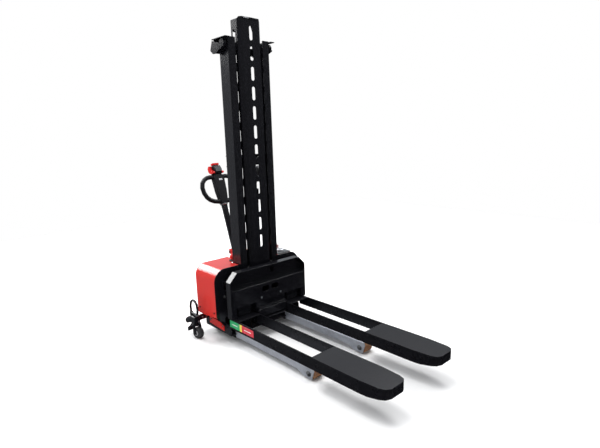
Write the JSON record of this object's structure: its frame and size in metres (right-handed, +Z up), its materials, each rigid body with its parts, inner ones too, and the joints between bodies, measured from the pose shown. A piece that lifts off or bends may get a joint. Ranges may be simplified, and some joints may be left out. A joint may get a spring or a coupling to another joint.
{
  "type": "walkie stacker",
  "caption": "Self-loading walkie stacker with a mast, forks on a lifting carriage, sliding support legs and a steered drive wheel under a tiller.",
  "frame": {"origin": "on the floor under the middle of the machine's bounding box", "axes": "+Z up, the forks point to -Y, and the tiller and its operator are at +Y; left and right in the names are -X and +X"},
  "size_m": [0.8458, 1.7293, 1.943],
  "materials": {
    "black_paint": "satin black powder coat",
    "red_paint": "gloss red paint",
    "zinc_plate": "bright zinc plate",
    "steel": "turned steel",
    "chrome": "ground and chromed",
    "aluminium": "cast and turned",
    "motor_enamel": "dark grey enamel",
    "black_plastic": "fine grained black moulding",
    "grey_plastic": "fine grained grey moulding",
    "clear_tank": "natural translucent tank plastic",
    "red_plastic": "glossy red moulding",
    "wheel_rubber": "dark rubber tread",
    "polyurethane": "brown polyurethane"
  },
  "bodies": {
    "chassis": {"base_frame": "black_paint", "front_plate": "black_paint", "body_cover": "red_paint", "side_panel_left": "red_paint", "side_panel_right": "red_paint", "mast_upright_left": "black_paint", "mast_upright_right": "black_paint", "mast_top_tie": "black_paint", "mast_middle_tie": "black_paint", "mast_bottom_tie": "black_paint", "mast_guard": "black_paint", "cylinder_barrel": "black_paint", "drive_arch": "black_paint", "battery": "black_plastic", "oil_tank": "clear_tank", "pump_motor": "motor_enamel", "controller": "aluminium", "instrument_panel": "grey_plastic", "battery_gauge": "aluminium", "emergency_base": "black_plastic", "caster_bracket_left": "black_paint", "caster_bracket_right": "black_paint"},
    "carriage": {"carriage_frame": "black_paint", "fork_left": "black_paint", "fork_right": "black_paint", "roller_bracket_left": "black_paint", "roller_bracket_right": "black_paint"},
    "piston": {"piston_rod": "chrome"},
    "steering": {"steering_head": "red_plastic", "drive_motor": "motor_enamel", "drive_bracket": "black_paint"},
    "drive_wheel": {"drive_tyre": "polyurethane", "drive_hub": "aluminium"},
    "tiller": {"tiller_arm": "black_paint", "tiller_handle": "black_plastic", "control_head": "black_plastic"},
    "throttle": {"throttle_wing_left": "red_plastic", "throttle_wing_right": "red_plastic"},
    "reverse_switch": {"reverse_button": "red_plastic"},
    "lift_switch": {"lift_button": "grey_plastic"},
    "lower_switch": {"lower_button": "grey_plastic"},
    "horn_switch": {"horn_button": "grey_plastic"},
    "stop_knob": {"emergency_stop": "red_plastic"},
    "key": {"key_switch": "steel"},
    "lower_guide_left": {"lower_roller_left": "steel"},
    "upper_guide_left": {"upper_roller_left": "steel"},
    "pulley_left": {"chain_pulley_left": "steel"},
    "leg_left": {"support_leg_left": "zinc_plate"},
    "leg_wheel_left": {"load_roller_left": "polyurethane"},
    "caster_pedal_left": {"caster_lever_left": "black_paint"},
    "caster_left": {"caster_yoke_left": "black_paint"},
    "caster_roll_left": {"caster_wheel_left": "wheel_rubber"},
    "lower_guide_right": {"lower_roller_right": "steel"},
    "upper_guide_right": {"upper_roller_right": "steel"},
    "pulley_right": {"chain_pulley_right": "steel"},
    "leg_right": {"support_leg_right": "zinc_plate"},
    "leg_wheel_right": {"load_roller_right": "polyurethane"},
    "caster_pedal_right": {"caster_lever_right": "black_paint"},
    "caster_right": {"caster_yoke_right": "black_paint"},
    "caster_roll_right": {"caster_wheel_right": "wheel_rubber"}
  },
  "joints": [
    {"name": "lift", "type": "slide", "parent": "chassis", "child": "carriage", "axis": [0, 0, 1], "range_m": [-0.085, 1.3]},
    {"name": "piston_slide", "type": "slide", "parent": "chassis", "child": "piston", "axis": [0, 0, 1], "range_m": [-0.0425, 0.65]},
    {"name": "steer", "type": "hinge", "parent": "chassis", "child": "steering", "pos_m": [0, 0.547, 0.24], "axis": [0, 0, 1], "range_deg": [-75, 75]},
    {"name": "drive_spin", "type": "hinge", "parent": "steering", "child": "drive_wheel", "pos_m": [0, 0.547, 0.088], "axis": [1, 0, 0], "continuous": true},
    {"name": "tiller_tilt", "type": "hinge", "parent": "steering", "child": "tiller", "pos_m": [0, 0.644, 0.49], "axis": [-1, 0, 0], "range_deg": [0, 50], "stiffness_Nm_per_rad": 14, "springref_deg": -34.38},
    {"name": "throttle_twist", "type": "hinge", "parent": "tiller", "child": "throttle", "pos_m": [0, 0.8235, 1.0424], "axis": [1, 0, 0], "range_deg": [-15, 15], "stiffness_Nm_per_rad": 0.5},
    {"name": "reverse_press", "type": "slide", "parent": "tiller", "child": "reverse_switch", "axis": [0, -0.309, -0.9511], "range_m": [0, 0.004], "stiffness_N_per_m": 400, "springref_m": -0.003},
    {"name": "lift_press", "type": "slide", "parent": "tiller", "child": "lift_switch", "axis": [0, -0.9511, 0.309], "range_m": [0, 0.003], "stiffness_N_per_m": 300, "springref_m": -0.002},
    {"name": "lower_press", "type": "slide", "parent": "tiller", "child": "lower_switch", "axis": [0, -0.9511, 0.309], "range_m": [0, 0.003], "stiffness_N_per_m": 300, "springref_m": -0.002},
    {"name": "horn_press", "type": "slide", "parent": "tiller", "child": "horn_switch", "axis": [0, -0.9511, 0.309], "range_m": [0, 0.003], "stiffness_N_per_m": 300, "springref_m": -0.002},
    {"name": "stop_press", "type": "slide", "parent": "chassis", "child": "stop_knob", "axis": [0, 0, -1], "range_m": [0, 0.004]},
    {"name": "key_turn", "type": "hinge", "parent": "chassis", "child": "key", "pos_m": [0.255, 0.487, 0.477], "axis": [0, 0, 1], "range_deg": [0, 90]},
    {"name": "lower_roller_spin_left", "type": "hinge", "parent": "carriage", "child": "lower_guide_left", "pos_m": [-0.12, 0.408, 0.19], "axis": [1, 0, 0], "continuous": true},
    {"name": "upper_roller_spin_left", "type": "hinge", "parent": "carriage", "child": "upper_guide_left", "pos_m": [-0.12, 0.408, 0.4], "axis": [1, 0, 0], "continuous": true},
    {"name": "pulley_spin_left", "type": "hinge", "parent": "piston", "child": "pulley_left", "pos_m": [-0.031, 0.394, 1.045], "axis": [1, 0, 0], "continuous": true},
    {"name": "leg_slide_left", "type": "slide", "parent": "chassis", "child": "leg_left", "axis": [0, 1, 0], "range_m": [0, 0.2]},
    {"name": "load_roller_spin_left", "type": "hinge", "parent": "leg_left", "child": "leg_wheel_left", "pos_m": [-0.205, -0.338, 0.037], "axis": [1, 0, 0], "continuous": true},
    {"name": "caster_lever_lift_left", "type": "hinge", "parent": "chassis", "child": "caster_pedal_left", "pos_m": [-0.39, 0.538, 0.157], "axis": [1, 0, 0], "range_deg": [0, 20]},
    {"name": "caster_swivel_left", "type": "hinge", "parent": "chassis", "child": "caster_left", "pos_m": [-0.39, 0.566, 0.09], "axis": [0, 0, 1], "continuous": true},
    {"name": "caster_wheel_spin_left", "type": "hinge", "parent": "caster_left", "child": "caster_roll_left", "pos_m": [-0.38618, 0.54433, 0.037], "axis": [0.9848, 0.1736, 0], "continuous": true},
    {"name": "lower_roller_spin_right", "type": "hinge", "parent": "carriage", "child": "lower_guide_right", "pos_m": [0.12, 0.408, 0.19], "axis": [1, 0, 0], "continuous": true},
    {"name": "upper_roller_spin_right", "type": "hinge", "parent": "carriage", "child": "upper_guide_right", "pos_m": [0.12, 0.408, 0.4], "axis": [1, 0, 0], "continuous": true},
    {"name": "pulley_spin_right", "type": "hinge", "parent": "piston", "child": "pulley_right", "pos_m": [0.031, 0.394, 1.045], "axis": [1, 0, 0], "continuous": true},
    {"name": "leg_slide_right", "type": "slide", "parent": "chassis", "child": "leg_right", "axis": [0, 1, 0], "range_m": [0, 0.2]},
    {"name": "load_roller_spin_right", "type": "hinge", "parent": "leg_right", "child": "leg_wheel_right", "pos_m": [0.205, -0.338, 0.037], "axis": [1, 0, 0], "continuous": true},
    {"name": "caster_lever_lift_right", "type": "hinge", "parent": "chassis", "child": "caster_pedal_right", "pos_m": [0.39, 0.538, 0.157], "axis": [1, 0, 0], "range_deg": [0, 20]},
    {"name": "caster_swivel_right", "type": "hinge", "parent": "chassis", "child": "caster_right", "pos_m": [0.39, 0.566, 0.09], "axis": [0, 0, 1], "continuous": true},
    {"name": "caster_wheel_spin_right", "type": "hinge", "parent": "caster_right", "child": "caster_roll_right", "pos_m": [0.38618, 0.54433, 0.037], "axis": [0.9848, -0.1736, 0], "continuous": true}
  ],
  "couplings": [
    {"joint": "piston_slide", "follows": "lift", "ratio": 0.5},
    {"joint": "lower_roller_spin_left", "follows": "lift", "rad_per_m": -27.027},
    {"joint": "upper_roller_spin_left", "follows": "lift", "rad_per_m": 27.027},
    {"joint": "pulley_spin_left", "follows": "lift", "rad_per_m": -16.667},
    {"joint": "lower_roller_spin_right", "follows": "lift", "rad_per_m": -27.027},
    {"joint": "upper_roller_spin_right", "follows": "lift", "rad_per_m": 27.027},
    {"joint": "pulley_spin_right", "follows": "lift", "rad_per_m": -16.667}
  ]
}
